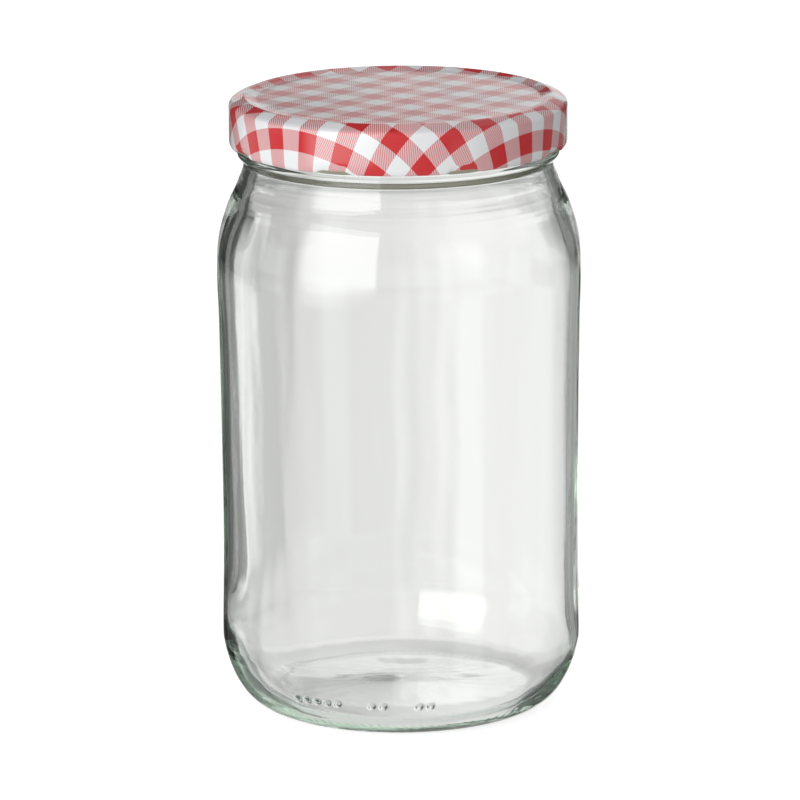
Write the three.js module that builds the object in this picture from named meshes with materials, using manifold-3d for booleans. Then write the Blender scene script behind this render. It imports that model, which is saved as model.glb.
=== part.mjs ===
// An empty preserving jar of clear glass with a lug cap screwed on its mouth.
// Millimetres, +Z up. The jar stands on z = 0 with its axis on the Z axis, and its front faces -Y.
// An azimuth is counted from the front, and grows towards +X.

import * as THREE from 'three';
import { mergeVertices } from 'three/addons/utils/BufferGeometryUtils.js';
import Module from 'manifold-3d';

const wasm = await Module();
wasm.setup();

const DEGREE = Math.PI / 180;

// Facets round the axis, five degrees each, so that every lug is centred on a facet.
const SEGMENTS = 72;

// Glass body, outside: radius at each height, from the heel's top up to the neck.
const BODY_STATIONS = [
  { height: 22, radius: 54.86 },
  { height: 28, radius: 54.8 },
  { height: 48, radius: 54.4 },
  { height: 90, radius: 54.65 },
  { height: 122, radius: 55.1 },
  { height: 135, radius: 55.45 },
  { height: 146, radius: 54.75 },
  { height: 155.3, radius: 52.1 },
  { height: 162.9, radius: 48.7 },
  { height: 168.6, radius: 47.1 },
];

// Heel: a rounded curve from the bearing ring up to the first station, flat under the ring.
const HEEL_WIDTH = 19;
const HEEL_ACROSS_POWER = 2.9;
const HEEL_UP_POWER = 1.44;
const HEEL_FIRST_ANGLE = 13;
const HEEL_STEPS = 7;

// Base: the ring it stands on, the push-up under it and the floor inside.
const BEARING_RADIUS = 39.4;
const BEARING_WIDTH = 2.6;
const PUSH_UP_HEIGHT = 2.6;
const PUSH_UP_RINGS = [0, 0.3, 0.6, 0.87];
const FLOOR_HEIGHT = 6.6;
const INNER_HEEL_WIDTH = 16;
const INNER_HEEL_STEPS = 6;

// Glass wall thickness.
const WALL = 3;

// Stretches of the body between rings of facets, outside and inside.
const OUTSIDE_STRETCHES = [
  { from: 22, to: 28, steps: 1 },
  { from: 28, to: 48, steps: 2 },
  { from: 48, to: 122, steps: 3 },
  { from: 122, to: 135, steps: 2 },
  { from: 135, to: 146, steps: 2 },
  { from: 146, to: 168.6, steps: 6 },
];
const INSIDE_STRETCHES = [
  { from: 28, to: 48, steps: 1 },
  { from: 48, to: 122, steps: 2 },
  { from: 122, to: 146, steps: 2 },
  { from: 146, to: 168.6, steps: 4 },
];

// Finish: the bead under the cap, the wall that carries the threads, and the sealing rim.
const BEAD_RADIUS = 48.8;
const BEAD_HEIGHT = 171;
const BEAD_HALF_HEIGHT = 2;
const BEAD_STEPS = 4;
const FINISH_RADIUS = 47.9;
const BORE_RADIUS = 43.6;
const RIM_TOP = 187.2;
const RIM_ROUNDING = 1.8;
const RIM_STEPS = 3;

// Threads: short ramps that the lugs slide under.
const LUG_COUNT = 8;
const THREAD_DEPTH = 1.6;
const THREAD_HALF_HEIGHT = 1.2;
const THREAD_START_HEIGHT = 177.6;
const THREAD_RISE = 2.6;
const THREAD_LENGTH = 32;
const THREAD_LEAD = 7;
const THREAD_STEPS = 6;
const THREAD_ROOT = 0.8;
const THREAD_SIDES = 6;
const THREAD_END_SIZE = 0.25;

// Round dots moulded on the heel: the azimuths of each group, in degrees.
const DOT_HEIGHT = 11.6;
const DOT_RADIUS = 1.35;
const DOT_SINK = 0.35;
const DOT_PITCH = 3.8;
const DOT_SIDES = 8;
const DOT_RINGS = 6;
const DOT_GROUPS = [
  { first: -37, count: 5 },
  { first: -10, count: 2 },
  { first: 5.7, count: 2 },
];

// Cap: sheet metal with a sunk panel, a sloping shoulder, a straight skirt and a curled edge.
const CAP_HEIGHT = 189.1;
const CAP_RADIUS = 51.3;
const SHEET = 0.6;
const CREST_RADIUS = 46.2;
const CREST_ROUNDING = 0.3;
const PANEL_TOP = CAP_HEIGHT - 0.95;
const PANEL_RADIUS = 43.8;
const SHOULDER_TOP = CAP_HEIGHT - 1.5;
const SHOULDER_RADIUS = 50.3;
const SKIRT_TOP = 186.3;
const SKIRT_BOTTOM = 176.2;
const CURL_BOTTOM = 174.1;
const CURL_INNER_RADIUS = 49.9;

// Lugs: stretches of the curl pressed inwards and flattened.
const LUG_OFFSET = 22.5;
const LUG_HALF_ANGLE = 5;
const LUG_TIP_RADIUS = 48.35;
const LUG_BOTTOM = 173.6;
const LUG_THICKNESS = 1.1;

const point = (radius, height) => new THREE.Vector2(radius, height);

// Radius of the body's outside at a height: a smooth curve through the stations.
function bodyRadius(height) {
  const last = BODY_STATIONS.length - 1;
  const secant = (i) => {
    const below = BODY_STATIONS[i];
    const above = BODY_STATIONS[i + 1];
    return (above.radius - below.radius) / (above.height - below.height);
  };
  const slope = (i) => {
    if (i === 0) return secant(0);
    if (i === last) return 0;
    return (secant(i - 1) + secant(i)) / 2;
  };
  let i = 0;
  while (i < last - 1 && BODY_STATIONS[i + 1].height < height) i += 1;
  const a = BODY_STATIONS[i];
  const b = BODY_STATIONS[i + 1];
  const span = b.height - a.height;
  const t = (height - a.height) / span;
  const rise = t * t * (3 - 2 * t);
  const leave = t * (1 - t) * (1 - t) * span * slope(i);
  const arrive = t * t * (t - 1) * span * slope(i + 1);
  return a.radius + rise * (b.radius - a.radius) + leave + arrive;
}

// Points along a quarter turn, from one angle to another, round a centre.
function arc(centreRadius, centreHeight, size, from, to, steps) {
  const points = [];
  for (let i = 0; i <= steps; i += 1) {
    const angle = (from + (to - from) * i / steps) * DEGREE;
    points.push(point(centreRadius + size * Math.cos(angle), centreHeight + size * Math.sin(angle)));
  }
  return points;
}

// Heights up a wall, closer together where it bends. Each stretch is cut into equal steps.
function heightsIn(stretches) {
  const heights = [];
  for (const { from, to, steps } of stretches) {
    for (let i = 0; i < steps; i += 1) heights.push(from + (to - from) * i / steps);
  }
  return heights;
}

// A place on a heel: the angle runs from 0 at its bottom to a quarter turn at the first station.
function heelCurve(angle, topRadius, width, bottom) {
  const across = Math.sin(angle) ** (2 / HEEL_ACROSS_POWER);
  const up = Math.max(Math.cos(angle), 0) ** (2 / HEEL_UP_POWER);
  const rise = (BODY_STATIONS[0].height - bottom) * (1 - up);
  return point(topRadius - width * (1 - across), bottom + rise);
}

const heelPoint = (angle) => heelCurve(angle, BODY_STATIONS[0].radius, HEEL_WIDTH, 0);

// Rings from the axis towards the bearing ring, with how far the push-up has fallen at each.
function pushUpRings() {
  const ringInside = BEARING_RADIUS - BEARING_WIDTH;
  return PUSH_UP_RINGS.map((t) => ({ radius: ringInside * t, fall: PUSH_UP_HEIGHT * t * t * (3 - 2 * t) }));
}

// Underside, from the axis out to the bearing ring and round the heel.
function undersideProfile() {
  const ringInside = BEARING_RADIUS - BEARING_WIDTH;
  const points = pushUpRings().map(({ radius, fall }) => point(radius, PUSH_UP_HEIGHT - fall));
  points.push(point(ringInside, 0), point(BEARING_RADIUS, 0));
  for (let i = 0; i < HEEL_STEPS; i += 1) {
    const angle = HEEL_FIRST_ANGLE + (90 - HEEL_FIRST_ANGLE) * i / HEEL_STEPS;
    points.push(heelPoint(angle * DEGREE));
  }
  return points;
}

// Bead and finish, from the neck up to the top of the sealing rim.
function finishProfile() {
  const neck = BODY_STATIONS[BODY_STATIONS.length - 1];
  const points = [point(neck.radius, neck.height)];
  for (let i = 0; i < BEAD_STEPS; i += 1) {
    const angle = (-90 + 180 * (i + 0.5) / BEAD_STEPS) * DEGREE;
    const base = angle < 0 ? neck.radius : FINISH_RADIUS;
    const radius = base + (BEAD_RADIUS - base) * Math.cos(angle);
    points.push(point(radius, BEAD_HEIGHT + BEAD_HALF_HEIGHT * Math.sin(angle)));
  }
  points.push(point(FINISH_RADIUS, BEAD_HEIGHT + BEAD_HALF_HEIGHT + 0.4));
  const outerCentre = FINISH_RADIUS - RIM_ROUNDING;
  const innerCentre = BORE_RADIUS + RIM_ROUNDING;
  points.push(...arc(outerCentre, RIM_TOP - RIM_ROUNDING, RIM_ROUNDING, 0, 90, RIM_STEPS));
  points.push(...arc(innerCentre, RIM_TOP - RIM_ROUNDING, RIM_ROUNDING, 90, 180, RIM_STEPS));
  return points;
}

// Inside of the jar, from the bore down the wall and over the floor to the axis. The inside of the
// heel runs along its outside, and the floor runs along the push-up.
function insideProfile() {
  const points = [point(BORE_RADIUS, BEAD_HEIGHT)];
  for (const height of heightsIn(INSIDE_STRETCHES).reverse()) {
    points.push(point(bodyRadius(height) - WALL, height));
  }
  const wallRadius = BODY_STATIONS[0].radius - WALL;
  const bottom = FLOOR_HEIGHT - PUSH_UP_HEIGHT;
  for (let i = INNER_HEEL_STEPS; i >= 0; i -= 1) {
    const angle = 90 * i / INNER_HEEL_STEPS;
    points.push(heelCurve(angle * DEGREE, wallRadius, INNER_HEEL_WIDTH, bottom));
  }
  for (const { radius, fall } of pushUpRings().reverse()) {
    points.push(point(radius, FLOOR_HEIGHT - fall));
  }
  return points;
}

// A turned solid with its axis on Z and its first column of points at the front.
function turned(points) {
  return new THREE.LatheGeometry(points, SEGMENTS).rotateX(Math.PI / 2);
}

// A closed mesh as a solid that can be joined, without the flat triangles on the axis.
function solidOf(geometry) {
  const bare = geometry.clone();
  bare.deleteAttribute('normal');
  bare.deleteAttribute('uv');
  const merged = mergeVertices(bare, 1e-4);
  const corners = merged.index.array;
  const kept = [];
  for (let i = 0; i < corners.length; i += 3) {
    const [a, b, c] = [corners[i], corners[i + 1], corners[i + 2]];
    if (a !== b && b !== c && c !== a) kept.push(a, b, c);
  }
  return new wasm.Manifold(new wasm.Mesh({
    numProp: 3,
    vertProperties: new Float32Array(merged.attributes.position.array),
    triVerts: new Uint32Array(kept),
  }));
}

function geometryOf(solid) {
  const mesh = solid.getMesh();
  const geometry = new THREE.BufferGeometry();
  geometry.setAttribute('position', new THREE.BufferAttribute(new Float32Array(mesh.vertProperties), 3));
  geometry.setIndex(new THREE.BufferAttribute(new Uint32Array(mesh.triVerts), 1));
  geometry.computeVertexNormals();
  return geometry;
}

// One thread: a ridge with tapered ends that climbs round the finish from an azimuth.
function threadRamp(azimuth) {
  const sides = THREAD_SIDES;
  const positions = [];
  const triangles = [];
  for (let step = 0; step <= THREAD_STEPS; step += 1) {
    const t = step / THREAD_STEPS;
    const angle = (azimuth + THREAD_LENGTH * t) * DEGREE;
    const taper = Math.sqrt(Math.max(0, 1 - (2 * t - 1) ** 6));
    const size = THREAD_END_SIZE + (1 - THREAD_END_SIZE) * taper;
    const height = THREAD_START_HEIGHT + THREAD_RISE * t;
    for (let side = 0; side < sides; side += 1) {
      const turn = (side / sides) * 2 * Math.PI;
      const reach = Math.cos(turn) > 0 ? THREAD_DEPTH * size : THREAD_ROOT;
      const radius = FINISH_RADIUS + reach * Math.cos(turn);
      const up = THREAD_HALF_HEIGHT * size * Math.sin(turn);
      positions.push(radius * Math.sin(angle), -radius * Math.cos(angle), height + up);
    }
  }
  for (let step = 0; step < THREAD_STEPS; step += 1) {
    for (let side = 0; side < sides; side += 1) {
      const a = step * sides + side;
      const b = step * sides + (side + 1) % sides;
      triangles.push(a, a + sides, b, b, a + sides, b + sides);
    }
  }
  const end = THREAD_STEPS * sides;
  for (let side = 1; side < sides - 1; side += 1) {
    triangles.push(0, side, side + 1);
    triangles.push(end, end + side + 1, end + side);
  }
  const geometry = new THREE.BufferGeometry();
  geometry.setAttribute('position', new THREE.Float32BufferAttribute(positions, 3));
  geometry.setIndex(triangles);
  return geometry;
}

// One moulded dot, a low dome on the heel.
function heelDot(azimuth) {
  const up = 1 - DOT_HEIGHT / BODY_STATIONS[0].height;
  const radius = heelPoint(Math.acos(up ** (HEEL_UP_POWER / 2))).x - DOT_SINK;
  const dot = new THREE.SphereGeometry(DOT_RADIUS, DOT_SIDES, DOT_RINGS);
  const angle = azimuth * DEGREE;
  dot.translate(radius * Math.sin(angle), -radius * Math.cos(angle), DOT_HEIGHT);
  return dot;
}

// The jar: one piece of glass, with its threads and dots.
function jarGeometry() {
  const heights = heightsIn(OUTSIDE_STRETCHES);
  const outside = heights.map((height) => point(bodyRadius(height), height));
  const profile = [...undersideProfile(), ...outside, ...finishProfile(), ...insideProfile()];
  let jar = solidOf(turned(profile));
  for (let lug = 0; lug < LUG_COUNT; lug += 1) {
    const azimuth = LUG_OFFSET + lug * 360 / LUG_COUNT - THREAD_LEAD;
    jar = jar.add(solidOf(threadRamp(azimuth)));
  }
  for (const group of DOT_GROUPS) {
    for (let i = 0; i < group.count; i += 1) {
      jar = jar.add(solidOf(heelDot(group.first + i * DOT_PITCH)));
    }
  }
  return geometryOf(jar);
}

// Underside of the cap, from the axis out to the inside of the skirt.
function capUnderside() {
  const channelTop = CAP_HEIGHT - SHEET - CREST_ROUNDING;
  return [
    point(0, PANEL_TOP - SHEET),
    point(PANEL_RADIUS + SHEET, PANEL_TOP - SHEET),
    point(CREST_RADIUS - CREST_ROUNDING, channelTop),
    point(CREST_RADIUS + 2 * CREST_ROUNDING, channelTop),
    point(SHOULDER_RADIUS - SHEET / 2, SHOULDER_TOP - SHEET),
    point(CAP_RADIUS - SHEET, SKIRT_TOP - SHEET / 2),
  ];
}

// Edge of the cap where it is a round curl, from the inside of the skirt to its outside.
function curledEdge() {
  const size = (CAP_RADIUS - CURL_INNER_RADIUS) / 2;
  const centre = CURL_INNER_RADIUS + size;
  return [
    point(CAP_RADIUS - SHEET, SKIRT_BOTTOM),
    point(CURL_INNER_RADIUS + 0.3 * size, CURL_BOTTOM + 1.6 * size),
    point(CURL_INNER_RADIUS, CURL_BOTTOM + size),
    point(centre - 0.6 * size, CURL_BOTTOM + 0.2 * size),
    point(centre, CURL_BOTTOM),
    point(centre + 0.7 * size, CURL_BOTTOM + 0.45 * size),
    point(CAP_RADIUS - 0.04, CURL_BOTTOM + 1.5 * size),
    point(CAP_RADIUS, SKIRT_BOTTOM + 0.6),
  ];
}

// The same edge where it is pressed inwards as a lug, point for point.
function pressedEdge() {
  const thick = LUG_THICKNESS;
  return [
    point(CAP_RADIUS - SHEET, SKIRT_BOTTOM + 0.5),
    point(LUG_TIP_RADIUS + thick, LUG_BOTTOM + 1.6 * thick),
    point(LUG_TIP_RADIUS, LUG_BOTTOM + thick),
    point(LUG_TIP_RADIUS, LUG_BOTTOM + 0.25 * thick),
    point(LUG_TIP_RADIUS + 0.4 * thick, LUG_BOTTOM),
    point(LUG_TIP_RADIUS + 1.5 * thick, LUG_BOTTOM + 0.45 * thick),
    point(CAP_RADIUS - 0.35, LUG_BOTTOM + 1.8 * thick),
    point(CAP_RADIUS, SKIRT_BOTTOM + 1.2),
  ];
}

// Top of the cap, from the top of the skirt over the shoulder and the crest to the axis.
function capTop() {
  return [
    point(CAP_RADIUS, SKIRT_TOP),
    point(CAP_RADIUS - 0.25, SKIRT_TOP + 0.75),
    point(SHOULDER_RADIUS, SHOULDER_TOP + 0.05),
    point(CREST_RADIUS + 3 * CREST_ROUNDING, CAP_HEIGHT - CREST_ROUNDING / 2),
    point(CREST_RADIUS, CAP_HEIGHT),
    point(CREST_RADIUS - 2.6 * CREST_ROUNDING, CAP_HEIGHT - CREST_ROUNDING),
    point(PANEL_RADIUS + 2 * CREST_ROUNDING, PANEL_TOP + CREST_ROUNDING / 2),
    point(PANEL_RADIUS, PANEL_TOP),
    point(0, PANEL_TOP),
  ];
}

// Whether an azimuth in degrees is on a lug.
function onLug(turn) {
  const spacing = 360 / LUG_COUNT;
  const past = (turn - LUG_OFFSET + 360) % spacing;
  return Math.min(past, spacing - past) < LUG_HALF_ANGLE;
}

// The cap: one piece of sheet metal with its lugs.
function capGeometry() {
  const curled = [...capUnderside(), ...curledEdge(), ...capTop()];
  const pressed = [...capUnderside(), ...pressedEdge(), ...capTop()];
  const geometry = turned(curled);
  const position = geometry.attributes.position;
  for (let column = 0; column <= SEGMENTS; column += 1) {
    const turn = column * 360 / SEGMENTS;
    const azimuth = turn * DEGREE;
    const section = onLug(turn) ? pressed : curled;
    section.forEach((place, row) => {
      const x = place.x * Math.sin(azimuth);
      const y = -place.x * Math.cos(azimuth);
      position.setXYZ(column * section.length + row, x, y, place.y);
    });
  }
  return geometry;
}

const glass = new THREE.MeshStandardMaterial({
  color: 0xe3ece6,
  roughness: 0.03,
  metalness: 0,
  transparent: true,
  opacity: 0.35,
});

const lacquer = new THREE.MeshStandardMaterial({
  color: 0xd98a8a,
  roughness: 0.3,
  metalness: 0.1,
});

const jar = new THREE.Mesh(jarGeometry(), glass);
jar.name = 'jar';

const lid = new THREE.Mesh(capGeometry(), lacquer);
lid.name = 'lid';

const preservingJar = new THREE.Group();
preservingJar.add(jar, lid);

export default preservingJar;
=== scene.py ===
"""Looks for an empty preserving jar of clear glass with a checked lug cap.

Metres, +Z up, front towards -Y. Profiles are written in millimetres and scaled once.
Azimuths round the jar are in degrees from the front and grow towards +X.
"""

import math

import bpy
import numpy as np
from mathutils import Matrix, Vector


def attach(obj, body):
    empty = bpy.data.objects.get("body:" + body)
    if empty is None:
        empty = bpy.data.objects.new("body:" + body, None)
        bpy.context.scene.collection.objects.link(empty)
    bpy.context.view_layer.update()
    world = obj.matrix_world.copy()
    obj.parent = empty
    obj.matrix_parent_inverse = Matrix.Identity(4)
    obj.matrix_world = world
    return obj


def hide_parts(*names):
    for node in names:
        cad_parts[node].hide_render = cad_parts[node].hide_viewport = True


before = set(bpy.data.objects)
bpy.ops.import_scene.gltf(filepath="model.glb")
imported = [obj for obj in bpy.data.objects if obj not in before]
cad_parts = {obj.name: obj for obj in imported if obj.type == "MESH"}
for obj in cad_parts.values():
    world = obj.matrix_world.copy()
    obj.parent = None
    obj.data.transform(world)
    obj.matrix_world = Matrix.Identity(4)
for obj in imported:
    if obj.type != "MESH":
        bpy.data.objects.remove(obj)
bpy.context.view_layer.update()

MM = 0.001
# A profile stops this far from the axis, where one point closes it.
AXIS_GAP = 0.02

# Glass body, outside: height and radius, as in the solids.
BODY_STATIONS = np.array([
    (22.0, 54.86), (28.0, 54.8), (48.0, 54.4), (90.0, 54.65), (122.0, 55.1),
    (135.0, 55.45), (146.0, 54.75), (155.3, 52.1), (162.9, 48.7), (168.6, 47.1),
])
HEEL_TOP, HEEL_TOP_RADIUS = BODY_STATIONS[0]
NECK_HEIGHT, NECK_RADIUS = BODY_STATIONS[-1]
HEEL_WIDTH = 19.0
HEEL_ACROSS_POWER = 2.9
HEEL_UP_POWER = 1.44
HEEL_FIRST_ANGLE = 7.0
HEEL_GAP = 0.2
BEARING_INSIDE = 36.8
BEARING_OUTSIDE = 39.4
PUSH_UP_HEIGHT = 2.6
FLOOR_HEIGHT = 6.6
INNER_HEEL_WIDTH = 16.0
WALL = 3.0

# Finish: bead, threaded wall and sealing rim.
BEAD_RADIUS = 48.8
BEAD_FROM = 169.5
BEAD_HEIGHT = 171.5
BEAD_HALF_HEIGHT = 1.5
BEAD_EASE = 0.2
BEAD_TURN = (4.0, 88.0)
BEAD_GAP = 0.4
FINISH_RADIUS = 47.9
BORE_RADIUS = 43.6
RIM_TOP = 187.2
RIM_ROUNDING = 1.8

# Threads and lugs.
LUG_COUNT = 8
LUG_OFFSET = 22.5
THREAD_DEPTH = 1.6
THREAD_HALF_HEIGHT = 1.35
THREAD_LEAST_HEIGHT = 0.05
THREAD_START_HEIGHT = 177.6
THREAD_RISE = 2.6
THREAD_LENGTH = 32.0
THREAD_LEAD = 7.0
THREAD_END_POWER = 6
THREAD_SLACK = 0.3

# Round dots moulded on the heel: the first azimuth and the number of each group.
DOT_HEIGHT = 11.6
DOT_REACH = 1.25
DOT_PROUD = 0.5
DOT_ROUNDNESS = 0.8
DOT_PITCH = 3.8
DOT_GROUPS = ((-37.0, 5), (-10.0, 2), (5.7, 2))
DOT_ZONE = 2.4
HEEL_SIDE = 44.0

# Ridges just outside the bearing ring.
KNURL_COUNT = 100
KNURL_DEPTH = 0.06
KNURL_FROM = 39.0
KNURL_TO = 44.5
KNURL_FADE_IN = 1.5
KNURL_FADE_OUT = 4.0
KNURL_TOP = 8.0

# Fine ripples round the shoulder, just under the bead: two waves that wander with the azimuth.
RIPPLE_DEPTH = 0.007
RIPPLE_PITCH = 2.1
RIPPLE_FROM = 154.0
RIPPLE_FADE_IN = 5.0
RIPPLE_FADE_OUT = 167.0
RIPPLE_WANDER = 0.9
RIPPLE_TURNS = (3.0, 5.0)
SECOND_RIPPLE = 0.6
SECOND_RIPPLE_RATE = 1.73

# Waves of the inner wall: amplitude, turns round the axis, turns over the height, phase.
WALL_WAVES = (
    (0.12, 2, 0.3, 0.4),
    (0.06, 3, -0.4, 1.9),
    (0.035, 5, 0.6, 3.3),
    (0.02, 9, -0.8, 0.9),
    (0.012, 14, 1.1, 5.1),
    (0.008, 31, -0.7, 2.2),
    (0.005, 47, 0.9, 4.0),
)
WALL_WAVES_IN = (10.0, 26.0)
WALL_WAVES_OUT = (150.0, 166.0)
WAVE_WANDER = 0.03
WANDER_RATES = (2.3, 1.1)
# Waves of the floor and the inner heel: amplitude, turns round the axis, turns inwards, phase.
FLOOR_WAVES = (
    (0.05, 2, 0.7, 0.3),
    (0.03, 5, -1.1, 1.2),
    (0.014, 13, 1.6, 2.6),
    (0.008, 29, -1.0, 0.7),
)
FLOOR_WAVES_OUT = (14.0, 30.0)
FLOOR_WAVES_RADII = (6.0, 30.0)
FLOOR_WAVE_INWARDS = 0.16
FLOOR_WAVE_UPWARDS = 0.1
# Where the inner wall is thinner or thicker: depth, height, half height, azimuth, half width.
THICKNESS_SPOTS = (
    (-0.9, 29.0, 8.0, -90.0, 35.0),
    (-0.5, 18.0, 6.0, 90.0, 35.0),
    (0.5, 152.0, 8.0, -90.0, 40.0),
    (0.5, 152.0, 8.0, 90.0, 40.0),
)
SPOTS_OUT = (158.0, 168.0)
SPOTS_FROM_RADIUS = 36.0

# Points of the fine lines that the rows of the mesh are taken from.
UNDER_POINTS = 120
RING_POINTS = 8
HEEL_POINTS = 300
BODY_POINTS = 700
INNER_WALL_POINTS = 600
INNER_HEEL_POINTS = 200
FLOOR_POINTS = 100
FINISH_POINTS = 30
BEAD_POINTS = 20
ARC_POINTS = 24

# Distance between the rows of the mesh, and where it changes.
MIDDLE_ROWS = 3.0
WALL_ROWS = 2.6
HEEL_ROWS = 1.2
CURVE_ROWS = 1.1
FINISH_ROWS = 0.45
FINE_ROWS = 0.4
MIDDLE_GAP = 2.0
SHOULDER_FROM = 128.0
INNER_HEEL_TOP = 20.0
FLOOR_EDGE = 41.0

# Columns round the axis, in degrees: finer where the dots are.
COLUMN_STEP = 0.9
FINE_STEP = 0.45
FINE_FROM = -41.4
FINE_TO = 14.4


def smoothstep(low, high, value):
    t = np.clip((value - low) / (high - low), 0.0, 1.0)
    return t * t * (3.0 - 2.0 * t)


def body_radius(heights):
    """Radius of the outside at each height: a smooth curve through the stations."""
    z, r = BODY_STATIONS[:, 0], BODY_STATIONS[:, 1]
    secants = np.diff(r) / np.diff(z)
    slopes = np.concatenate(([secants[0]], (secants[:-1] + secants[1:]) / 2.0, [0.0]))
    i = np.clip(np.searchsorted(z, heights, side="right") - 1, 0, len(secants) - 1)
    span = z[i + 1] - z[i]
    t = (heights - z[i]) / span
    rise = t * t * (3.0 - 2.0 * t)
    leave = t * (1.0 - t) ** 2 * span * slopes[i]
    arrive = t * t * (t - 1.0) * span * slopes[i + 1]
    return r[i] + rise * (r[i + 1] - r[i]) + leave + arrive


def rim_arc(radius, start, end):
    """A rounded corner of the rim, about a centre at this radius."""
    angles = np.radians(np.linspace(start, end, ARC_POINTS))
    height = RIM_TOP - RIM_ROUNDING
    return np.stack([radius + RIM_ROUNDING * np.cos(angles), height + RIM_ROUNDING * np.sin(angles)], 1)


def resample(line, spacing):
    """Points along a fine line, as far apart as spacing(radius, height) says."""
    steps = np.hypot(*np.diff(line, axis=0).T)
    middle = (line[:-1] + line[1:]) / 2.0
    density = np.concatenate(([0.0], np.cumsum(steps / spacing(middle[:, 0], middle[:, 1]))))
    count = int(round(density[-1])) + 1
    wanted = np.linspace(0.0, density[-1], count)
    return np.stack([np.interp(wanted, density, line[:, k]) for k in (0, 1)], 1)


def heel_curve(angles, top_radius, width, bottom):
    """The heel's outside or inside: angle 0 is its bottom, a quarter turn its top."""
    across = np.sin(angles) ** (2.0 / HEEL_ACROSS_POWER)
    up = np.maximum(np.cos(angles), 0.0) ** (2.0 / HEEL_UP_POWER)
    rise = (HEEL_TOP - bottom) * (1.0 - up)
    return np.stack([top_radius - width * (1.0 - across), bottom + rise], 1)


def push_up_fall(radii):
    return PUSH_UP_HEIGHT * smoothstep(0.0, BEARING_INSIDE, radii)


def outside_line():
    """Outside of the glass as a fine line, from the axis underneath to the top of the rim."""
    radii = np.linspace(AXIS_GAP, BEARING_INSIDE, UNDER_POINTS)
    under = np.stack([radii, PUSH_UP_HEIGHT - push_up_fall(radii)], 1)
    radii = np.linspace(BEARING_INSIDE, BEARING_OUTSIDE, RING_POINTS)[1:]
    ring = np.stack([radii, np.zeros_like(radii)], 1)
    angles = np.radians(np.linspace(HEEL_FIRST_ANGLE, 90.0, HEEL_POINTS))
    heel = heel_curve(angles, HEEL_TOP_RADIUS, HEEL_WIDTH, 0.0)
    heel = heel[heel[:, 0] > BEARING_OUTSIDE + HEEL_GAP]
    heights = np.linspace(HEEL_TOP, NECK_HEIGHT, BODY_POINTS)[1:]
    body = np.stack([body_radius(heights), heights], 1)
    heights = np.linspace(NECK_HEIGHT, BEAD_HEIGHT, FINISH_POINTS)[1:]
    share = np.clip((heights - BEAD_FROM) / (BEAD_HEIGHT - BEAD_FROM), 0.0, 1.0)
    share = (1.0 - BEAD_EASE) * share + BEAD_EASE * smoothstep(0.0, 1.0, share)
    flank = np.stack([NECK_RADIUS + (BEAD_RADIUS - NECK_RADIUS) * share, heights], 1)
    turn = np.radians(np.linspace(*BEAD_TURN, BEAD_POINTS))
    fall = FINISH_RADIUS + (BEAD_RADIUS - FINISH_RADIUS) * np.cos(turn)
    crest = np.stack([fall, BEAD_HEIGHT + BEAD_HALF_HEIGHT * np.sin(turn)], 1)
    wall = np.array([(FINISH_RADIUS, BEAD_HEIGHT + BEAD_HALF_HEIGHT + BEAD_GAP)])
    rim = rim_arc(FINISH_RADIUS - RIM_ROUNDING, 0, 90)
    return np.concatenate([under, ring, heel, body, flank, crest, wall, rim])


def inside_line():
    """Inside of the glass, from the top of the rim down the bore and the wall to the axis.

    The inside of the heel runs along its outside, and the floor runs along the push-up.
    """
    rim = rim_arc(BORE_RADIUS + RIM_ROUNDING, 90, 180)[1:]
    heights = np.linspace(RIM_TOP - RIM_ROUNDING, BEAD_HEIGHT, FINISH_POINTS)[1:]
    bore = np.stack([np.full_like(heights, BORE_RADIUS), heights], 1)
    heights = np.linspace(NECK_HEIGHT, HEEL_TOP, INNER_WALL_POINTS)[:-1]
    wall = np.stack([body_radius(heights) - WALL, heights], 1)
    angles = np.radians(np.linspace(90.0, 0.0, INNER_HEEL_POINTS))
    heel = heel_curve(angles, HEEL_TOP_RADIUS - WALL, INNER_HEEL_WIDTH, FLOOR_HEIGHT - PUSH_UP_HEIGHT)
    radii = np.linspace(heel[-1, 0], AXIS_GAP, FLOOR_POINTS)[1:]
    floor = np.stack([radii, FLOOR_HEIGHT - push_up_fall(radii)], 1)
    return np.concatenate([rim, bore, wall, heel, floor])


def outside_spacing(radius, height):
    spacing = np.where(height < HEEL_TOP, HEEL_ROWS, WALL_ROWS)
    spacing = np.where(radius < BEARING_INSIDE - MIDDLE_GAP, MIDDLE_ROWS, spacing)
    by_dots = (radius > HEEL_SIDE) & (np.abs(height - DOT_HEIGHT) < DOT_ZONE)
    spacing = np.where(by_dots, FINE_ROWS, spacing)
    spacing = np.where(height > SHOULDER_FROM, CURVE_ROWS, spacing)
    spacing = np.where(height > RIPPLE_FROM, FINE_ROWS, spacing)
    return np.where(height > NECK_HEIGHT, FINISH_ROWS, spacing)


def inside_spacing(radius, height):
    curved = (height > SHOULDER_FROM) | (height < INNER_HEEL_TOP)
    spacing = np.where(curved, CURVE_ROWS, WALL_ROWS)
    return np.where(radius < FLOOR_EDGE, MIDDLE_ROWS, spacing)


def columns():
    """Azimuths of the glass's columns: whole steps, so that the last one stops short of the first."""
    fine_count = round((FINE_TO - FINE_FROM) / FINE_STEP)
    rest_count = round((FINE_FROM + 360.0 - FINE_TO) / COLUMN_STEP)
    fine = FINE_FROM + FINE_STEP * np.arange(fine_count)
    rest = FINE_TO + COLUMN_STEP * np.arange(rest_count)
    return np.concatenate([fine, rest])


def lengths_along(line):
    """Length from the start of a line to each of its points."""
    return np.concatenate(([0.0], np.cumsum(np.hypot(*np.diff(line, axis=0).T))))


def profile_normals(rows):
    """Unit normals of a line of points that runs with the glass on its left."""
    along = np.gradient(rows, axis=0)
    along /= np.hypot(along[:, 0], along[:, 1])[:, None]
    return np.stack([along[:, 1], -along[:, 0]], 1)


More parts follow.
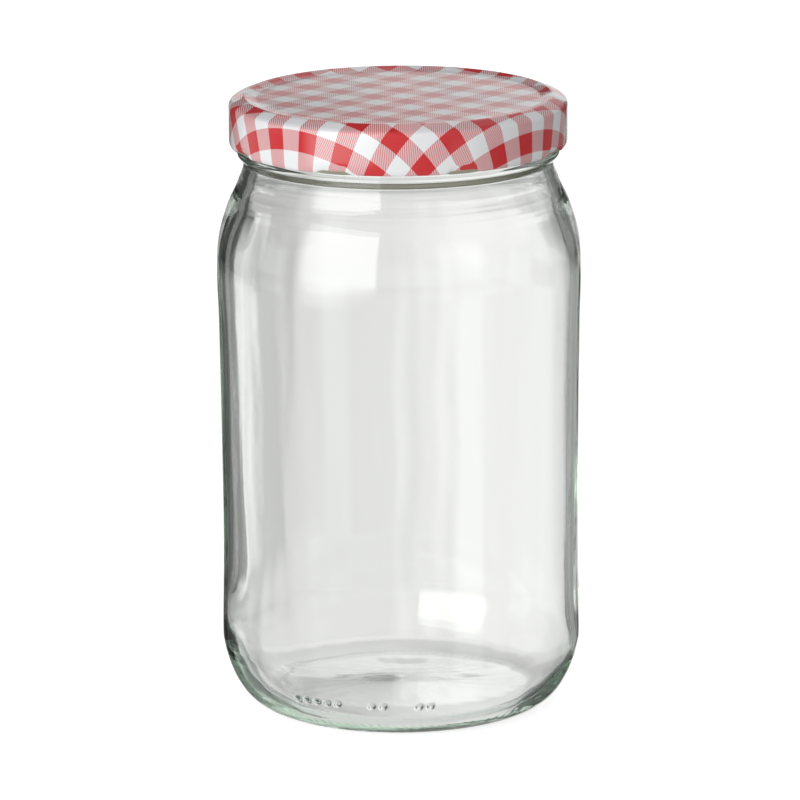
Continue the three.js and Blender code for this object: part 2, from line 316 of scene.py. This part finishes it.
def dots_out(rows, azimuths):
    """How far the moulded dots stand proud of the heel."""
    along = lengths_along(rows)
    on_heel = (rows[:, 0] > HEEL_SIDE) & (rows[:, 1] < HEEL_TOP)
    nearest = np.argmin(np.where(on_heel, np.abs(rows[:, 1] - DOT_HEIGHT), np.inf))
    beside = along - along[nearest]
    out = np.zeros((len(rows), len(azimuths)))
    for first, count in DOT_GROUPS:
        for i in range(count):
            round_it = np.radians(azimuths - first - i * DOT_PITCH)[None, :] * rows[:, :1]
            distance = np.hypot(round_it, beside[:, None]) / DOT_REACH
            out += DOT_PROUD * np.maximum(0.0, 1.0 - distance**2) ** DOT_ROUNDNESS
    return np.where(on_heel[:, None], out, 0.0)


def threads_out(rows, azimuths):
    out = np.zeros((len(rows), len(azimuths)))
    on_finish = rows[:, 0] > FINISH_RADIUS - THREAD_SLACK
    for lug in range(LUG_COUNT):
        start = LUG_OFFSET + lug * 360.0 / LUG_COUNT - THREAD_LEAD
        t = ((azimuths - start) % 360.0) / THREAD_LENGTH
        size = np.sqrt(np.maximum(0.0, 1.0 - (2.0 * t - 1.0) ** THREAD_END_POWER))
        centre = THREAD_START_HEIGHT + THREAD_RISE * t
        away = (rows[:, 1:2] - centre) / np.maximum(THREAD_HALF_HEIGHT * size, THREAD_LEAST_HEIGHT)
        out += THREAD_DEPTH * size * np.maximum(0.0, 1.0 - away**2) * (t < 1.0)
    return np.where(on_finish[:, None], out, 0.0)


def knurl_out(rows, azimuths):
    there = smoothstep(KNURL_FROM, KNURL_FROM + KNURL_FADE_IN, rows[:, 0])
    there *= 1.0 - smoothstep(KNURL_TO - KNURL_FADE_OUT, KNURL_TO, rows[:, 0])
    there *= rows[:, 1] < KNURL_TOP
    ridges = 0.5 - 0.5 * np.cos(np.radians(azimuths) * KNURL_COUNT)
    return -KNURL_DEPTH * there[:, None] * ridges[None, :]


def ripples_out(rows, azimuths):
    there = smoothstep(RIPPLE_FROM, RIPPLE_FROM + RIPPLE_FADE_IN, rows[:, 1])
    there *= 1.0 - smoothstep(RIPPLE_FADE_OUT, NECK_HEIGHT, rows[:, 1])
    turn = np.radians(azimuths)[None, :]
    phase = (rows[:, 1] / RIPPLE_PITCH * 2.0 * math.pi)[:, None]
    wave = np.sin(phase + RIPPLE_WANDER * np.sin(RIPPLE_TURNS[0] * turn))
    second = np.sin(SECOND_RIPPLE_RATE * phase + np.cos(RIPPLE_TURNS[1] * turn))
    return RIPPLE_DEPTH * there[:, None] * (wave + SECOND_RIPPLE * second)


def waves_out(rows, azimuths):
    """Unevenness of the inside, which fades out at the bore and in the middle of the floor."""
    radius, height = rows[:, 0], rows[:, 1]
    on_wall = smoothstep(*WALL_WAVES_IN, height) * (1.0 - smoothstep(*WALL_WAVES_OUT, height))
    on_floor = (1.0 - smoothstep(*FLOOR_WAVES_OUT, height)) * smoothstep(*FLOOR_WAVES_RADII, radius)
    below_neck = 1.0 - smoothstep(*SPOTS_OUT, height)
    turn = np.radians(azimuths)[None, :]
    rise = (height / RIM_TOP * 2.0 * math.pi)[:, None]
    out = np.zeros((len(rows), len(azimuths)))
    wander = np.sin(WANDER_RATES[0] * rise + 2.0 * turn) * np.cos(WANDER_RATES[1] * rise + 1.0)
    for amount, around, over, phase in WALL_WAVES:
        out += amount * np.sin(around * (turn + WAVE_WANDER * wander) + over * rise + phase)
    out *= on_wall[:, None]
    inwards_by = (FLOOR_WAVE_INWARDS * radius - FLOOR_WAVE_UPWARDS * height)[:, None]
    for amount, around, inwards, phase in FLOOR_WAVES:
        out += amount * np.sin(around * turn + inwards * inwards_by + phase) * on_floor[:, None]
    for depth, middle, tall, azimuth, wide in THICKNESS_SPOTS:
        beside = (azimuths - azimuth + 180.0) % 360.0 - 180.0
        level = np.exp(-(((height - middle) / tall) ** 2)) * below_neck * (radius > SPOTS_FROM_RADIUS)
        out += depth * level[:, None] * np.exp(-((beside / wide) ** 2))[None, :]
    return out


def turned(radius, height, azimuths):
    """Grid of points, in metres: radii and heights of each row and column, turned round the axis."""
    turn = np.radians(azimuths)[None, :]
    return np.stack([radius * np.sin(turn), -radius * np.cos(turn), height], 2) * MM


def mesh_from_grid(name, grid, first_pole, last_pole):
    """Closed mesh from a grid of rows and columns, with a point on the axis at each end."""
    row_count, column_count, _ = grid.shape
    points = np.concatenate([grid.reshape(-1, 3), [first_pole, last_pole]])
    index = np.arange(row_count * column_count).reshape(row_count, column_count)
    following = np.roll(index, -1, axis=1)
    quads = np.stack([index[:-1], following[:-1], following[1:], index[1:]], 2).reshape(-1, 4)
    first = row_count * column_count
    start = np.stack([np.full(column_count, first), following[0], index[0]], 1)
    end = np.stack([np.full(column_count, first + 1), index[-1], following[-1]], 1)
    loops = np.concatenate([quads.ravel(), start.ravel(), end.ravel()])
    sizes = np.concatenate([np.full(len(quads), 4), np.full(2 * column_count, 3)])
    mesh = bpy.data.meshes.new(name)
    mesh.vertices.add(len(points))
    mesh.vertices.foreach_set("co", points.astype(np.float32).ravel())
    mesh.loops.add(len(loops))
    mesh.loops.foreach_set("vertex_index", loops.astype(np.int32))
    mesh.polygons.add(len(sizes))
    starts = np.concatenate(([0], np.cumsum(sizes)[:-1]))
    mesh.polygons.foreach_set("loop_start", starts.astype(np.int32))
    mesh.update(calc_edges=True)
    mesh.validate()
    mesh.shade_smooth()
    return mesh


def piece(name, mesh, node, materials):
    made = bpy.data.objects.new(name, mesh)
    bpy.context.scene.collection.objects.link(made)
    for material in materials:
        mesh.materials.append(material)
    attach(made, "root")
    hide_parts(node)


# Nodes of materials and of the world.

def new_material(name):
    material = bpy.data.materials.new(name)
    material.use_nodes = True
    return material, material.node_tree.nodes, material.node_tree.links


def set_inputs(node, values):
    for key, value in values.items():
        node.inputs[key].default_value = value


def fill(links, socket, value):
    """Sets a socket to a number or a colour, or joins it to another socket."""
    if isinstance(value, (int, float, tuple)):
        socket.default_value = value
    else:
        links.new(value, socket)


def calculator(nodes, links):
    """A short way to add Math nodes to one tree."""
    def calc(operation, *inputs):
        node = nodes.new("ShaderNodeMath")
        node.operation = operation
        for socket, value in zip(node.inputs, inputs):
            fill(links, socket, value)
        return node.outputs[0]
    return calc


def clamped(calc, value):
    return calc("MINIMUM", calc("MAXIMUM", value, 0.0), 1.0)


def mix_colour(nodes, links, factor, first, second, blend="MIX"):
    node = nodes.new("ShaderNodeMix")
    node.data_type = "RGBA"
    node.blend_type = blend
    fill(links, node.inputs[0], factor)
    fill(links, node.inputs[6], first)
    fill(links, node.inputs[7], second)
    return node.outputs[2]


def noise_node(nodes, links, values):
    """Noise in the piece's own coordinates."""
    coordinates = nodes.new("ShaderNodeTexCoord")
    noise = nodes.new("ShaderNodeTexNoise")
    links.new(coordinates.outputs["Object"], noise.inputs["Vector"])
    set_inputs(noise, values)
    return noise.outputs[0]


def ramp_node(nodes, links, source, stops):
    ramp = nodes.new("ShaderNodeValToRGB")
    elements = ramp.color_ramp.elements
    elements.remove(elements[-1])
    for i, (position, value) in enumerate(stops):
        element = elements[0] if i == 0 else elements.new(position)
        element.position = position
        element.color = (value, value, value, 1.0)
    links.new(source, ramp.inputs[0])
    return ramp.outputs[0]


# Glass: its green is seen where the light runs far through it.
GLASS_IOR = 1.52
GLASS_GREEN = (0.06, 0.6, 0.17, 1.0)
GLASS_DENSITY = 4.6
GLASS_GRAIN = {"Scale": 70.0, "Detail": 3.0, "Roughness": 0.55}
GLASS_BUMP = {"Strength": 0.05, "Distance": 0.0004}


def glass_material():
    """Clear glass with a barely uneven surface."""
    material, nodes, links = new_material("clear_glass")
    shader = nodes["Principled BSDF"]
    set_inputs(shader, {
        "Base Color": (1.0, 1.0, 1.0, 1.0),
        "Roughness": 0.0,
        "IOR": GLASS_IOR,
        "Transmission Weight": 1.0,
    })
    bump = nodes.new("ShaderNodeBump")
    set_inputs(bump, GLASS_BUMP)
    links.new(noise_node(nodes, links, GLASS_GRAIN), bump.inputs["Height"])
    links.new(bump.outputs[0], shader.inputs["Normal"])
    absorb = nodes.new("ShaderNodeVolumeAbsorption")
    set_inputs(absorb, {"Color": GLASS_GREEN, "Density": GLASS_DENSITY})
    links.new(absorb.outputs[0], nodes["Material Output"].inputs["Volume"])
    return material


# Check: side of a square, angle and offset of the print on the flat blank, in millimetres.
CHECK_SIDE = 6.374
CHECK_ANGLE = math.radians(51.48)
CHECK_OFFSET = (5.877, 3.155)
HATCH_PITCH = 0.595
HATCH_RED = 0.56
HATCH_SWING = 0.36
INK_WHITE = (0.82, 0.825, 0.84, 1.0)
INK_RED = (0.60, 0.022, 0.028, 1.0)
PRINT_BLUR = 0.02
PRINT_FINISH = {
    "Roughness": 0.45,
    "Specular IOR Level": 0.1,
    "Coat Weight": 1.0,
    "Coat Roughness": 0.06,
    "Coat IOR": 1.5,
}


def print_material():
    """Glossy lacquered tinplate, printed with a woven check: solid, hatched and bare squares."""
    material, nodes, links = new_material("printed_tinplate")
    shader = nodes["Principled BSDF"]
    calc = calculator(nodes, links)
    place = nodes.new("ShaderNodeAttribute")
    place.attribute_name = "blank"
    apart = nodes.new("ShaderNodeSeparateXYZ")
    links.new(place.outputs["Vector"], apart.inputs[0])
    x, y = apart.outputs[0], apart.outputs[1]

    def stripe(position):
        wave = calc("SINE", calc("MULTIPLY", position, math.pi / CHECK_SIDE))
        return clamped(calc, calc("ADD", calc("DIVIDE", wave, 2.0 * PRINT_BLUR), 0.5))

    cos, sin = math.cos(CHECK_ANGLE), math.sin(CHECK_ANGLE)
    across = calc("ADD", calc("MULTIPLY", x, cos), calc("MULTIPLY", y, sin))
    along = calc("SUBTRACT", calc("MULTIPLY", y, cos), calc("MULTIPLY", x, sin))
    warp = stripe(calc("SUBTRACT", across, CHECK_OFFSET[0]))
    weft = stripe(calc("SUBTRACT", along, CHECK_OFFSET[1]))
    both = calc("MULTIPLY", warp, weft)
    either = calc("SUBTRACT", calc("ADD", warp, weft), both)
    line = calc("SINE", calc("MULTIPLY", x, 2.0 * math.pi / HATCH_PITCH))
    hatch = calc("ADD", calc("MULTIPLY", line, HATCH_SWING), HATCH_RED)
    amount = calc("MAXIMUM", both, calc("MULTIPLY", either, hatch))
    links.new(mix_colour(nodes, links, amount, INK_WHITE, INK_RED), shader.inputs["Base Color"])
    set_inputs(shader, PRINT_FINISH)
    return material


# Sheet that isn't printed: colour, metallic, roughness and scale of the grain.
LACQUER = ((0.62, 0.56, 0.42, 1.0), 0.3, 0.35, 900.0)
BARE_EDGE = ((0.50, 0.46, 0.36, 1.0), 0.6, 0.4, 1500.0)
GRAIN_SHADE = 0.85
GRAIN_DETAIL = 3.0


def plain_material(name, colour, metallic, roughness, grain):
    """Lacquered or bare sheet with a faint grain in its colour."""
    material, nodes, links = new_material(name)
    shader = nodes["Principled BSDF"]
    noise = noise_node(nodes, links, {"Scale": grain, "Detail": GRAIN_DETAIL})
    dark = tuple(c * GRAIN_SHADE for c in colour[:3]) + (1.0,)
    links.new(mix_colour(nodes, links, noise, dark, colour), shader.inputs["Base Color"])
    set_inputs(shader, {"Metallic": metallic, "Roughness": roughness})
    return material


def jar_piece():
    azimuths = columns()
    outer = resample(outside_line(), outside_spacing)
    inner = resample(inside_line(), inside_spacing)
    rows = np.concatenate([outer, inner])
    on_outside = dots_out(outer, azimuths) + threads_out(outer, azimuths)
    on_outside += knurl_out(outer, azimuths) + ripples_out(outer, azimuths)
    out = np.concatenate([on_outside, waves_out(inner, azimuths)])
    normals = profile_normals(rows)
    radius = rows[:, :1] + out * normals[:, :1]
    height = rows[:, 1:2] + out * normals[:, 1:2]
    first = (0.0, 0.0, PUSH_UP_HEIGHT * MM)
    last = (0.0, 0.0, FLOOR_HEIGHT * MM)
    mesh = mesh_from_grid("jar_glass", turned(radius, height, azimuths), first, last)
    piece("jar_glass", mesh, "jar", [glass_material()])


# The cap, outside, from the axis to where the print ends: radius, height and rounding.
CAP_OUTSIDE = (
    (0.02, 188.15, 0.0), (43.3, 188.15, 0.9), (44.6, 188.5, 0.5), (45.8, 188.98, 0.5),
    (46.4, 189.1, 0.3), (47.2, 189.0, 0.5), (50.3, 187.7, 0.5), (51.1, 187.05, 0.4),
    (51.3, 186.2, 0.4), (51.3, 177.4, 0.5),
)
# Its edge, between the lugs and at a lug.
EDGE_CURLED = (
    (51.26, 175.2, 0.4), (50.95, 174.4, 0.3), (50.6, 174.1, 0.2), (50.35, 174.14, 0.1),
    (50.05, 174.32, 0.1), (49.92, 174.6, 0.1), (49.92, 174.95, 0.2), (50.15, 175.3, 0.2),
    (50.7, 176.2, 0.3),
)
EDGE_PRESSED = (
    (51.2, 176.4, 0.4), (51.0, 175.7, 0.3), (50.75, 175.25, 0.2), (50.05, 174.2, 0.2),
    (48.85, 173.64, 0.2), (48.4, 173.9, 0.2), (48.4, 174.6, 0.2), (49.45, 175.4, 0.3),
    (50.7, 176.7, 0.3),
)
CAP_INSIDE = (
    (50.7, 186.0, 0.4), (50.0, 187.0, 0.4), (46.8, 188.2, 0.3), (45.9, 188.2, 0.3),
    (44.4, 187.55, 0.4), (0.02, 187.55, 0.0),
)
# The last corner of the edge with the print, and the last that is bare.
PRINT_END = len(CAP_OUTSIDE) + 2
BARE_END = len(CAP_OUTSIDE) + 7
PRINTED, LACQUERED, BARE = 0, 1, 2
ROUND_STEPS = 4
ROUND_SHARE = 0.45
LONGEST_STEP = 4.0
LUG_HALF_ANGLE = 5.4
LUG_FLANK = 1.6
CAP_COLUMN_STEP = 0.75
# Where the print lies on the flat blank: radius and height on the cap, radius on the blank.
BLANK_KNOTS = (
    (0.02, 188.15, 0.02), (43.8, 188.15, 43.8), (46.3, 189.1, 46.43),
    (50.3, 187.7, 49.79), (51.3, 186.2, 51.69),
)


def rounded(corners):
    """Fine line through corners whose tips are rounded, and the corner that each point is at."""
    places = np.array([corner[:2] for corner in corners])
    points = [places[0]]
    owners = [0]
    for i in range(1, len(corners) - 1):
        before, here, after = places[i - 1], places[i], places[i + 1]
        to_before = np.linalg.norm(before - here)
        to_after = np.linalg.norm(after - here)
        cut = min(corners[i][2], ROUND_SHARE * to_before, ROUND_SHARE * to_after)
        start = here + (before - here) * cut / to_before
        end = here + (after - here) * cut / to_after
        for step in range(ROUND_STEPS + 1):
            t = step / ROUND_STEPS
            points.append((1 - t) ** 2 * start + 2 * t * (1 - t) * here + t * t * end)
            owners.append(i)
    points.append(places[-1])
    owners.append(len(corners) - 1)
    return np.array(points), np.array(owners)


def split_long(points, owners):
    """The same line with long stretches cut into equal steps."""
    new_points = [points[0]]
    new_owners = [owners[0]]
    for i in range(1, len(points)):
        parts = max(1, int(math.ceil(np.linalg.norm(points[i] - points[i - 1]) / LONGEST_STEP)))
        for part in range(1, parts + 1):
            new_points.append(points[i - 1] + (points[i] - points[i - 1]) * part / parts)
            new_owners.append(owners[i])
    return np.array(new_points), np.array(new_owners)


def add_blank(mesh, curled, azimuths):
    """Keeps on each point of the cap where it lay on the flat printed blank."""
    along = lengths_along(curled)
    knots = [np.argmin(np.hypot(curled[:, 0] - r, curled[:, 1] - z)) for r, z, _ in BLANK_KNOTS]
    knot_along = [along[k] for k in knots] + [along[-1]]
    knot_blank = [b for _, _, b in BLANK_KNOTS] + [BLANK_KNOTS[-1][2] + along[-1] - along[knots[-1]]]
    radius = np.interp(along, knot_along, knot_blank)[::-1, None]
    turn = np.radians(azimuths)[None, :]
    sideways = radius * np.sin(turn)
    blank = np.stack([sideways, -radius * np.cos(turn), np.zeros_like(sideways)], 2).reshape(-1, 3)
    blank = np.concatenate([blank, np.zeros((2, 3))]).astype(np.float32)
    attribute = mesh.attributes.new("blank", "FLOAT_VECTOR", "POINT")
    attribute.data.foreach_set("vector", blank.ravel())


def lid_piece():
    curled, owners = rounded(CAP_OUTSIDE + EDGE_CURLED + CAP_INSIDE)
    pressed, _ = rounded(CAP_OUTSIDE + EDGE_PRESSED + CAP_INSIDE)
    both, owners = split_long(np.concatenate([curled, pressed], 1), owners)
    curled, pressed = both[:, :2], both[:, 2:]
    azimuths = np.arange(0.0, 360.0, CAP_COLUMN_STEP)
    spacing = 360.0 / LUG_COUNT
    past = (azimuths - LUG_OFFSET + 360.0) % spacing
    away = np.minimum(past, spacing - past)
    lug = 1.0 - smoothstep(LUG_HALF_ANGLE - LUG_FLANK, LUG_HALF_ANGLE + LUG_FLANK, away)
    lug = lug[None, :, None]
    section = curled[:, None, :] * (1.0 - lug) + pressed[:, None, :] * lug
    grid = turned(section[:, :, 0], section[:, :, 1], azimuths)
    top = (0.0, 0.0, CAP_OUTSIDE[0][1] * MM)
    under = (0.0, 0.0, CAP_INSIDE[-1][1] * MM)
    # The line runs from the top to the underside, so it is turned round to face outwards.
    mesh = mesh_from_grid("lid_tinplate", grid[::-1], under, top)
    add_blank(mesh, curled, azimuths)

    stretch = np.where(owners[1:] <= BARE_END, BARE, LACQUERED)
    stretch = np.where(owners[1:] <= PRINT_END, PRINTED, stretch)[::-1]
    indices = np.repeat(np.concatenate([stretch, (LACQUERED, PRINTED)]), len(azimuths))
    mesh.polygons.foreach_set("material_index", indices.astype(np.int32))
    materials = [
        print_material(),
        plain_material("lid_lacquer", *LACQUER),
        plain_material("lid_edge", *BARE_EDGE),
    ]
    piece("lid_tinplate", mesh, "lid", materials)


# Studio: camera, floor, world and softbox.
CAMERA_PLACE = (0.0, -2.045, 0.5839)
CAMERA_DOWN = math.radians(13.47)
CAMERA_ROLL = math.radians(-0.37)
CAMERA_LENS = 309.96
CAMERA_SENSOR = 36.0
CAMERA_REACH = 100.0
FLOOR_REACH = 6.0
FLOOR_PAPER = {"Base Color": (0.9, 0.9, 0.9, 1.0), "Roughness": 0.9, "Specular IOR Level": 0.0}
FLOOR_GLOW = 0.72
LIGHT_BOUNCES = 64
WHITE = (1.0, 1.0, 1.0, 1.0)


def make_camera():
    data = bpy.data.cameras.new("camera")
    data.lens = CAMERA_LENS
    data.sensor_width = CAMERA_SENSOR
    data.clip_end = CAMERA_REACH
    camera = bpy.data.objects.new("camera", data)
    bpy.context.scene.collection.objects.link(camera)
    turn = Matrix.Rotation(math.radians(90.0) - CAMERA_DOWN, 4, "X") @ Matrix.Rotation(CAMERA_ROLL, 4, "Z")
    camera.matrix_world = Matrix.Translation(Vector(CAMERA_PLACE)) @ turn
    bpy.context.scene.camera = camera


def make_floor():
    """Pale paper, which the glass doesn't show: there it shows the world."""
    mesh = bpy.data.meshes.new("floor")
    corners = [(x * FLOOR_REACH, y * FLOOR_REACH, 0.0) for x, y in ((-1, -1), (1, -1), (1, 1), (-1, 1))]
    mesh.from_pydata(corners, [], [(0, 1, 2, 3)])
    floor = bpy.data.objects.new("floor", mesh)
    bpy.context.scene.collection.objects.link(floor)
    material, nodes, links = new_material("floor_paper")
    shader = nodes["Principled BSDF"]
    set_inputs(shader, FLOOR_PAPER)
    glow = nodes.new("ShaderNodeEmission")
    path = nodes.new("ShaderNodeLightPath")
    strength = calculator(nodes, links)("MULTIPLY", path.outputs["Is Camera Ray"], FLOOR_GLOW)
    links.new(strength, glow.inputs["Strength"])
    add = nodes.new("ShaderNodeAddShader")
    links.new(shader.outputs[0], add.inputs[0])
    links.new(glow.outputs[0], add.inputs[1])
    links.new(add.outputs[0], nodes["Material Output"].inputs["Surface"])
    mesh.materials.append(material)
    floor.visible_transmission = False
    floor.visible_glossy = False


# The world's azimuths are in degrees from straight behind, and its elevations are sines.
# Brightness beyond the glass, a little below the level. It is pale behind a view of the front
# or of the back, and dark flags stand beside it.
BEYOND_STOPS = (
    (-180.0, 0.6), (-122.0, 0.6), (-108.0, 0.2), (-90.0, 0.5), (-62.0, 0.85), (-53.0, 0.85),
    (-44.0, 0.35), (-34.0, 0.12), (-29.0, 0.2), (-26.0, 0.07), (-13.0, 0.07), (-11.2, 0.2),
    (-9.8, 1.0), (-8.0, 1.12), (-6.6, 0.76), (-5.0, 0.55), (-2.4, 0.84), (0.2, 0.83),
    (1.4, 1.0), (9.5, 1.12), (13.8, 1.05), (15.2, 0.15), (21.0, 0.08), (23.5, 0.42),
    (34.0, 0.3), (100.0, 0.2), (110.0, 0.3), (124.0, 0.3), (127.0, 0.9), (143.0, 0.9),
    (147.0, 0.3), (174.0, 0.6),
)
BEYOND_FROM = -0.345
BEYOND_TO = -0.185
# The same further below the level, where views from above look through the glass.
LOWER_STOPS = (
    (-180.0, 0.75), (-125.0, 0.75), (-118.0, 0.2), (-101.0, 0.2), (-99.0, 0.95), (-81.0, 0.95),
    (-79.0, 0.2), (-57.0, 0.2), (-54.5, 0.95), (-35.5, 0.95), (-33.0, 0.06), (-12.0, 0.06),
    (-10.0, 0.9), (-6.4, 0.75), (-5.0, 0.65), (-2.6, 0.85), (0.2, 0.9), (9.5, 1.0),
    (13.8, 0.95), (15.5, 0.12), (22.0, 0.08), (26.0, 0.2), (95.0, 0.2), (115.0, 0.75),
    (160.0, 0.7),
)
# The same nearer the level, where the shoulder, the edges and level views look.
NEARER_STOPS = (
    (-180.0, 0.75), (-125.0, 0.75), (-118.0, 0.2), (-101.0, 0.2), (-99.0, 0.95), (-81.0, 0.95),
    (-79.0, 0.2), (-60.0, 0.12), (-33.0, 0.06), (-12.0, 0.06), (-10.0, 0.9), (-6.4, 0.75),
    (-5.0, 0.65), (-2.6, 0.85), (0.2, 0.9), (9.5, 1.0), (13.8, 0.95), (15.5, 0.12),
    (22.0, 0.08), (26.0, 0.2), (95.0, 0.2), (115.0, 0.75), (160.0, 0.7),
)
# Share of that brightness at each elevation: dimmer where the shoulder bends the view.
LEVEL_STOPS = (
    (-1.0, 0.86), (-0.385, 0.8), (-0.362, 1.0), (-0.215, 1.0), (-0.185, 0.92), (-0.165, 0.76),
    (-0.145, 0.57), (-0.12, 0.44), (-0.1, 0.62), (-0.08, 1.0),
)
# Brightness of the studio above.
STUDIO_STOPS = (
    (-180.0, 0.5), (-155.0, 0.95), (-125.0, 0.85), (-112.0, 0.25), (-60.0, 0.2), (-5.0, 0.08),
    (-1.0, 0.1), (-0.4, 0.35), (0.6, 0.8), (8.0, 0.75), (20.0, 0.5), (60.0, 0.45),
    (90.0, 0.6), (140.0, 0.6), (180.0, 0.5),
)
STUDIO_FROM = 0.19
# Below this elevation the glass shows the pale table and no walls.
STEEP_FROM = -0.62
STEEP_TO = -0.72
STEEP_PALE = (0.8, 0.8, 0.8, 1.0)
BEYOND_TINT = (1.0, 0.99, 0.98, 1.0)
# The flags beside the glass are seen along its wall, which is green that way.
WALL_TINT = (0.945, 0.99, 0.955, 1.0)
WALL_TINT_FROM = 19.0
WALL_TINT_TO = 24.0


def make_world():
    world = bpy.data.worlds.new("studio")
    bpy.context.scene.world = world
    world.use_nodes = True
    nodes, links = world.node_tree.nodes, world.node_tree.links
    calc = calculator(nodes, links)
    coordinates = nodes.new("ShaderNodeTexCoord")
    apart = nodes.new("ShaderNodeSeparateXYZ")
    links.new(coordinates.outputs["Generated"], apart.inputs[0])
    x, y, elevation = apart.outputs[0], apart.outputs[1], apart.outputs[2]
    azimuth = calc("MULTIPLY", calc("ARCTAN2", x, y), 180.0 / math.pi)
    around = calc("ADD", calc("DIVIDE", azimuth, 360.0), 0.5)

    def by_azimuth(stops):
        return ramp_node(nodes, links, around, [(a / 360.0 + 0.5, b) for a, b in stops])

    def share(value, start, end):
        return clamped(calc, calc("DIVIDE", calc("SUBTRACT", value, start), end - start))

    def mix(factor, first, second, blend="MIX"):
        return mix_colour(nodes, links, factor, first, second, blend)

    above = calc("GREATER_THAN", elevation, BEYOND_TO)
    below = calc("LESS_THAN", elevation, BEYOND_FROM)
    beyond = mix(above, by_azimuth(BEYOND_STOPS), by_azimuth(NEARER_STOPS))
    beyond = mix(below, beyond, by_azimuth(LOWER_STOPS))
    beyond = mix(share(elevation, STEEP_FROM, STEEP_TO), beyond, STEEP_PALE)
    height = calc("DIVIDE", calc("ADD", elevation, 1.0), 2.0)
    level = ramp_node(nodes, links, height, [(a / 2.0 + 0.5, b) for a, b in LEVEL_STOPS])
    beyond = mix(1.0, beyond, level, "MULTIPLY")
    beside = share(calc("ABSOLUTE", azimuth), WALL_TINT_FROM, WALL_TINT_TO)
    beyond = mix(1.0, beyond, mix(beside, BEYOND_TINT, WALL_TINT), "MULTIPLY")
    low = calc("LESS_THAN", elevation, STUDIO_FROM)
    colour = mix(low, by_azimuth(STUDIO_STOPS), beyond)
    path = nodes.new("ShaderNodeLightPath")
    background = nodes["Background"]
    links.new(mix(path.outputs["Is Camera Ray"], colour, WHITE), background.inputs[0])


SOFTBOX_PLACE = (-0.394, -0.453, 0.24)
SOFTBOX_TARGET = (0.0, 0.0, 0.15)
SOFTBOX_WIDTH = 0.63
SOFTBOX_HEIGHT = 0.48
SOFTBOX_POWER = 2.32
SOFTBOX_ROLL = math.radians(4.0)
# How far in from two of its edges the light fades, as a share of the side.
SOFTBOX_BORDER = (0.2, 0.14)
SOFTBOX_EDGE = 0.1


def make_softbox():
    """A rectangular light that fades towards two edges, as the cloth of a softbox does."""
    data = bpy.data.lights.new("softbox", "AREA")
    data.shape = "RECTANGLE"
    data.size = SOFTBOX_WIDTH
    data.size_y = SOFTBOX_HEIGHT
    data.energy = SOFTBOX_POWER
    light = bpy.data.objects.new("softbox", data)
    bpy.context.scene.collection.objects.link(light)
    place, target = Vector(SOFTBOX_PLACE), Vector(SOFTBOX_TARGET)
    facing = (target - place).to_track_quat("-Z", "Y").to_matrix().to_4x4()
    light.matrix_world = Matrix.Translation(place) @ facing @ Matrix.Rotation(SOFTBOX_ROLL, 4, "Z")
    light.visible_camera = False

    data.use_nodes = True
    nodes, links = data.node_tree.nodes, data.node_tree.links
    geometry = nodes.new("ShaderNodeNewGeometry")
    apart = nodes.new("ShaderNodeSeparateXYZ")
    links.new(geometry.outputs["Parametric"], apart.inputs[0])
    strength = 1.0
    for side, reach in enumerate(SOFTBOX_BORDER):
        ramp = nodes.new("ShaderNodeMapRange")
        ramp.interpolation_type = "SMOOTHSTEP"
        set_inputs(ramp, {"From Min": 0.0, "From Max": reach, "To Min": SOFTBOX_EDGE, "To Max": 1.0})
        links.new(apart.outputs[side], ramp.inputs[0])
        strength = calculator(nodes, links)("MULTIPLY", strength, ramp.outputs[0])
    links.new(strength, nodes["Emission"].inputs["Strength"])


def set_rendering():
    """Plain colours, and light that may run far along the thick glass of the base."""
    scene = bpy.context.scene
    scene.view_settings.view_transform = "Standard"
    scene.cycles.max_bounces = LIGHT_BOUNCES
    scene.cycles.glossy_bounces = LIGHT_BOUNCES
    scene.cycles.transmission_bounces = LIGHT_BOUNCES


make_camera()
make_floor()
make_world()
make_softbox()
set_rendering()

jar_piece()
lid_piece()
